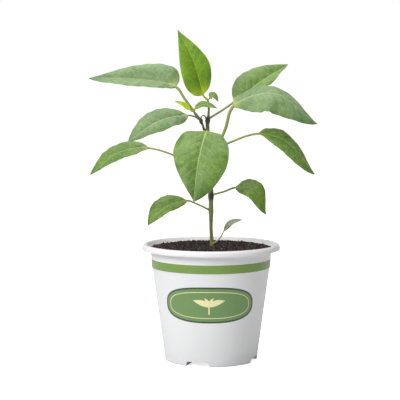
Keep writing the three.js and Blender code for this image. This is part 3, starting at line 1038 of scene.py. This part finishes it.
def blade_share(v, swell, taper):
    """Share of the full width at v, 0 at the blade's base and 1 at its tip."""
    widest = swell / (swell + taper)
    return (v / widest) ** swell * ((1 - v) / (1 - widest)) ** taper


print("half way between veins:", between_veins(0.0, 0.5))

# %% [markdown]
# ## Where a leaf joins the stem
# A leaf's stalk grows out of the stem, so its foot is carried most of the way to the stem's middle.
# A stalk that leaves at a narrow angle would still show its cut end beside the stem, so the foot is
# also made thin where it is inside the stem and full where it comes out.

# %% Stalk feet
FOOT_REACH = 0.75                # share of the way from the foot to the stem's middle
FOOT_LENGTH = 8                  # millimetres of stalk in which the foot may be thinned


def stem_middles():
    """Points up the middle of the stem and the side shoot, each with the radius there."""
    found = []
    for rows in (MAIN_STEM, SIDE_SHOOT):
        at = np.linspace(0, len(rows) - 1, 12 * len(rows))
        table = np.array(rows)[:, :4]
        found.append(np.column_stack([np.interp(at, range(len(rows)), column) for column in table.T]))
    return np.vstack(found)


MIDDLES = stem_middles()


def nearest_middle(points):
    """For each point, the nearest place in the middle of a stem and the stem's radius there."""
    gaps = np.linalg.norm(MIDDLES[None, :, :3] - np.asarray(points)[:, None], axis=2)
    near = MIDDLES[gaps.argmin(axis=1)]
    return near[:, :3], near[:, 3]


print("points up the stems:", len(MIDDLES))

# %% [markdown]
# ## Along a leaf
# A blade could be a flat sheet with thickness added, but then its stalk would be a second piece. One
# section is carried along the whole leaf instead. This step works out what changes only along it: the
# frames, how far along the blade a ring is, the length run so far, and the radius of the stalk, which
# goes on as the midrib and ends at the tip as a thin point.

# %% Along a leaf
TIP_RADIUS = 0.12
FLARE, FLARE_LENGTH = 0.3, 3     # the stalk is stouter where it leaves the stem


def leaf_stations(leaf, stalk_rings, blade_rings):
    """The frames, share of the blade, length run and stalk radius at each ring."""
    path = np.array(leaf["path"], float)
    path[0] += FOOT_REACH * (nearest_middle(path[:1])[0][0] - path[0])
    station = np.arange(stalk_rings + blade_rings + 1)
    v = np.clip((station - stalk_rings) / blade_rings, 0, 1)
    shares = np.where(v > 0, 0.5 + v / 2, station / stalk_rings / 2)
    base_face, tip_face = unit(leaf["faces"][0]), unit(leaf["faces"][1])
    facings = unit(base_face * (1 - v)[:, None] + tip_face * v[:, None])
    frames = frames_on(path, shares, facings)
    centre = frames[0]
    run = np.concatenate([[0], np.cumsum(np.linalg.norm(np.diff(centre, axis=0), axis=1))])
    stalk = leaf["stalk"] * (1 - v ** 0.5) + TIP_RADIUS * v ** 0.5
    middles, radii = nearest_middle(centre)
    depth = np.linalg.norm(centre - middles, axis=1) / radii
    foot_size = np.where(run < FOOT_LENGTH, 0.25 + 0.75 * smooth_step((depth - 0.3) / 0.7), 1)
    stalk = stalk * foot_size * (1 + FLARE * np.exp(-(run / FLARE_LENGTH) ** 2))
    return frames, v, run, stalk


front_run = leaf_stations(LEAVES["front_leaf"], 26, 92)[2]
print("front leaf, stalk and blade:", round(front_run[-1], 1), "mm")

# %% [markdown]
# ## Across a leaf
# Round a stalk, the corners of a ring are spread by angle. On a blade they are better spread evenly
# from margin to margin, or they would crowd at the margins and leave the middle coarse. So the one
# spread turns into the other as the blade opens. A corner's place is then two shares: how far out to
# the side it is, and how far up or down in the thickness.

# %% Across a leaf


def section_shares(angle, middle, flat):
    """Sideways and up, both from -1 to 1. flat is 0 on the stalk and 1 on the open blade."""
    straight = np.where(angle <= math.pi, 1 - 2 * angle / math.pi, 2 * angle / math.pi - 3)
    side_share = np.where(middle, 0, np.cos(angle) * (1 - flat) + straight * flat)
    rounding = np.sqrt(np.clip(1 - np.abs(side_share) ** (2 + 2 * flat), 0, 1))
    return side_share, np.where(middle, 0, -np.sign(np.sin(angle)) * rounding)


print("section ready")

# %% [markdown]
# ## Relief of a blade
# A real blade is never flat. Its margin has a long ripple with a finer frill on it, and between its
# veins it puffs up. Each is a small height that is added to both faces, strongest where it belongs:
# the waves at the margin, the puffs between midrib and margin, and nothing on the stalk.

# %% Relief of a blade
RIPPLES, FRILLS, FRILL = 2.6, 7.3, 0.016
PUFF, PUFF_LEVEL = 0.045, 0.6


def margin_waves(v, is_right, full, wave, edge, share):
    """Heights of the ripple and the frill, which the two halves carry out of step."""
    ripple = wave * np.sin(math.tau * RIPPLES * v + np.where(is_right, 0, 2)) * edge ** 2 * share
    frill_phase = math.tau * FRILLS * v + np.where(is_right, 1, 4)
    return ripple + FRILL * full * np.sin(frill_phase) * edge ** 4 * share


def puffs(across, length, out, edge, v, flat, spacing):
    """Height of the quilting between the side veins."""
    height = (np.sqrt(between_veins(across, length)) - PUFF_LEVEL) * spacing * PUFF
    return height * smooth_step(out / 2.5) * (1 - edge ** 5) * flat * smooth_step((1 - v) * 5)


print("relief ready")

# %% [markdown]
# ## Growing a leaf
# Now the parts come together. The two halves of a blade have their own outline and fold. An arch
# lifts the middle of each half, a groove runs over the midrib, and a ridge stands out under it. Where
# each corner lies between the veins, which face it is on and how far it is from the stalk are stored,
# so that the finish can colour them.

# %% Growing a leaf
UNFOLDING = 7                    # a blade is open after a seventh of its length
ARCH = 0.09
GROOVE, GROOVE_BREADTH = 0.35, 0.8
BLADE_HALF_THICKNESS, MIDRIB_BREADTH = 0.2, 1.6


def grown_leaf(name, leaf, around, stalk_rings, blade_rings, veins, finish, slot):
    """Carries a section along a leaf's path, from a round stalk to a thin folded blade."""
    piece_name = "leaf." + name.replace("_leaf", "")
    piece, ring, angle, middle = ringed_cylinder(piece_name, around, stalk_rings + blade_rings)
    (centre, side, face), v, run, stalk = leaf_stations(leaf, stalk_rings, blade_rings)
    spacing = (run[-1] - run[stalk_rings]) / veins
    length = ((run - run[stalk_rings]) / spacing)[ring]
    v, stalk = v[ring], stalk[ring]
    flat = smooth_step(v * UNFOLDING)
    side_share, face_share = section_shares(angle, middle, flat)
    is_right = side_share > 0
    halves = np.where(is_right[:, None], np.array(leaf["right"]), np.array(leaf["left"]))
    full, swell, taper, fold, wave = halves.T
    share = blade_share(v, swell, taper)
    out = np.abs(side_share) * np.hypot(full * share, stalk)
    across = np.sign(side_share) * out / spacing
    fold = np.radians(fold) * np.minimum(1, v * 8)
    edge = np.abs(side_share) * flat
    arch = ARCH * full * share * 4 * edge * (1 - edge) * flat
    groove = -GROOVE * leaf["stalk"] * np.exp(-(out / GROOVE_BREADTH) ** 2) * flat * (1 - v)
    thin = stalk + (np.minimum(stalk, BLADE_HALF_THICKNESS) - stalk) * np.minimum(1, v * 6)
    rib = np.where(face_share < 0, (stalk - thin) * np.exp(-(out / MIDRIB_BREADTH) ** 2), 0)
    relief = margin_waves(v, is_right, full, wave, edge, share) + arch + groove
    relief = relief + puffs(across, length, out, edge, v, flat, spacing)
    lift = np.sin(fold) * out + relief + face_share * (thin + rib)
    sideways = np.sign(side_share) * np.cos(fold) * out
    move_corners(piece, centre[ring] + side[ring] * sideways[:, None] + face[ring] * lift[:, None])
    store(piece, "veins", np.column_stack([across, length, edge]))
    store(piece, "growth", np.column_stack([face_share * 0.5 + 0.5, 1 - flat, v]))
    piece = finished(piece, finish, name, 70)
    size = np.ptp([tuple(corner.co) for corner in piece.data.vertices], axis=0)
    plain_size = np.ptp(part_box(name), axis=0)
    print("  size", np.round(size / MM, 1), "plain", np.round(plain_size / MM, 1))
    return piece


print("leaf growing ready")

# %% [markdown]
# ## Leaf finish
# The upper side is a waxy green that is mottled at three sizes, with paler side veins and a paler
# midrib, yellower where the blade is youngest, near its base. The underside is duller and greyer.
# Light also passes through a leaf, so it gets a little subsurface scattering, and its bloom is a
# little sheen. The net of the smallest veins is the edges of Voronoi cells, bent by noise so
# that they don't look like tiles. It is a faint colour and a fine bump.

# %% Leaf finish


def leaf_finish(name, green, light, young, vein, youth=0.35, stalk=(144, 154, 80), bloom=0.2,
                tip=None):
    finish = Finish(name, Coat_Weight=0.05, Coat_Roughness=0.35, Sheen_Weight=bloom,
                    Sheen_Roughness=0.45, Subsurface_Weight=0.2, Subsurface_Scale=0.001,
                    Subsurface_Radius=(0.5, 1.0, 0.2), Specular_IOR_Level=0.4)
    place = finish.place()
    across, length, edge = finish.parts(finish.stored("veins"))
    upper, stalkness, v = finish.parts(finish.stored("growth"))
    out = abs(across)
    right = across.math("GREATER_THAN", 0.0)
    wander = (finish.grain(place, 120, 2) - 0.5) * 0.12
    phase = length - out * VEIN_SLANT - across * across * VEIN_CURVE + right * VEIN_OFFSET + wander
    fraction = phase.math("FRACT")
    from_vein = 1 - abs(fraction * 2 - 1)
    side_vein = from_vein.fade(0.11, 0.02) * out.fade(0.0, 0.12) * (1.1 - edge)
    midrib = (out / (0.085 - v * 0.06)).fade(1.0, 0.5)
    swirl_sockets = {"Vector": place, "Scale": 500.0, "Detail": 2.0}
    swirl = finish.node("ShaderNodeTexNoise", None, swirl_sockets, output=1)
    bent = finish.node("ShaderNodeVectorMath", {"operation": "MULTIPLY_ADD"},
                       {0: swirl, 1: (0.0022, 0.0022, 0.0022), 2: place})
    net = finish.node("ShaderNodeTexVoronoi", {"feature": "DISTANCE_TO_EDGE"},
                      {"Vector": bent, "Scale": 480.0})
    veinlet = net.fade(0.16, 0.0)
    cloud = finish.grain(place, 70, 4, 0.6)
    patch = finish.grain(place, 330, 5, 0.7)
    fine = finish.grain(place, 1500, 3, 0.65)
    tone = cloud.fade(0.3, 0.7) * 0.45 + patch.fade(0.3, 0.72) * 0.55 + (fine - 0.5) * 0.5
    blade = finish.blend(tone, colour(*green), colour(*light))
    blade = finish.blend(v.fade(youth, 0.0) * 0.8, blade, colour(*young))
    blade = finish.blend(veinlet * 0.11 + side_vein * 0.35, blade, colour(*vein))
    blade = finish.blend(edge.fade(0.93, 1.0) * 0.4, blade, colour(*green))
    blade = finish.blend(v.fade(0.72, 1.0) * 0.7, blade, colour(*(tip or green)))
    blade = finish.blend(midrib * 0.75, blade, colour(*vein))
    under = finish.blend(side_vein * 0.5 + midrib * 0.5, colour(126, 150, 96), colour(*vein))
    blade = finish.blend(upper.fade(0.45, 0.3), blade, under)
    finish.wear("Base Color", finish.blend(stalkness.fade(0.75, 1.0), blade, colour(*stalk)))
    finish.wear("Roughness", 0.4 + patch * 0.12 + fine * 0.08)
    finish.relief(net.fade(0.0, 0.3) * 0.5 + patch * 0.8 + fine * 0.25 - side_vein * 0.5, 0.00022, 0.7)
    return finish


print("leaf finish ready")

# %% [markdown]
# ## Tones
# A plant's leaves differ by age. The growing tip is fresh yellow-green, and leaves that face up get a
# little more sheen and greyer, lighter colours, which are a painted reflection of the bright sky on
# them.
# The lowest are darkest, and the seed leaf has faded. One finish with other colours does for all of
# them: deep green, light green, the young base, the veins, and how far the youth reaches.

# %% Tones
TONES = {
    "grown": leaf_finish(
        "grown_leaf", (66, 102, 28), (118, 150, 64), (122, 150, 64), (166, 190, 112), 0.15, bloom=0.1),
    # This tone's grey-green colours are partly painted reflection: the greyish glare of the sky on
    # leaves that face up. Its sheen is the shader's own.
    "bloomy": leaf_finish(
        "bloom_and_glare_leaf", (72, 102, 50), (124, 152, 94), (150, 168, 84), (156, 178, 122), 0.14,
        bloom=0.25),
    "fresh": leaf_finish(
        "fresh_leaf", (74, 116, 2), (124, 164, 22), (190, 212, 22), (158, 190, 50), 0.3,
        stalk=(176, 192, 56), bloom=0.02),
    "bright": leaf_finish(
        "bright_leaf", (168, 188, 24), (204, 218, 36), (208, 222, 40), (214, 222, 80), 0.6,
        stalk=(176, 190, 52), bloom=0.02, tip=(84, 104, 40)),
    "old": leaf_finish(
        "old_leaf", (54, 90, 12), (122, 154, 56), (116, 146, 54), (148, 174, 84), 0.15, bloom=0.05),
    "seed": leaf_finish(
        "seed_leaf", (142, 156, 116), (176, 188, 150), (166, 180, 130), (186, 198, 160), 0.3,
        stalk=(168, 180, 112)),
}
SLOTS = {"bright": "young_leaf", "seed": "seed_leaf"}    # every other tone is the slot "leaf"
print("tones:", ", ".join(TONES))

# %% [markdown]
# ## The fourteen leaves
# Small leaflets need fewer rings than grown leaves, because they curve over a shorter way, and their
# real veins are fewer too.

# %% Leaves
SMALL_LEAF_WIDTH = 7                   # a leaflet's halves are narrower than this
SMALL_LEAF_CUTS = (28, 12, 40, 5)      # sides, stalk rings, blade rings, side veins in each half
GROWN_LEAF_CUTS = (56, 26, 92, 8)

for leaf_name, row in LEAVES.items():
    small = max(row["left"][0], row["right"][0]) < SMALL_LEAF_WIDTH
    cuts = SMALL_LEAF_CUTS if small else GROWN_LEAF_CUTS
    tone = row["tone"]
    grown_leaf(leaf_name, row, *cuts, TONES[tone], SLOTS.get(tone, "leaf"))

# %% [markdown]
# ## Table
# A plain white table runs far behind the plant, wide enough to meet the white paper without an edge
# in view. A lit white table is never quite as bright as paper, so to the camera it also glows a
# little. That glow would light the pot from below, so all other light meets a plain dull white.

# %% Table
TABLE_SIZE, TABLE_PLACE = 16, (0, 6, 0)

clear_selection()
bpy.ops.mesh.primitive_plane_add(size=TABLE_SIZE, location=TABLE_PLACE)
table = named("table")
white = Finish("white_table", Roughness=0.9, Base_Color=(0.9, 0.9, 0.9, 1),
               Emission_Color=WHITE, Emission_Strength=0.75)
glowing = Sum(white, white.shader.outputs[0])
dull = white.node("ShaderNodeBsdfDiffuse", None, {"Color": (0.7, 0.7, 0.7, 1)})
to_camera = white.node("ShaderNodeLightPath", output="Is Camera Ray")
either = white.node("ShaderNodeMixShader", None, {0: to_camera, 1: dull, 2: glowing})
white.tree.links.new(either.socket, white.tree.nodes["Material Output"].inputs["Surface"])
table.data.materials.append(white.material)
print("table:", TABLE_SIZE, "m")
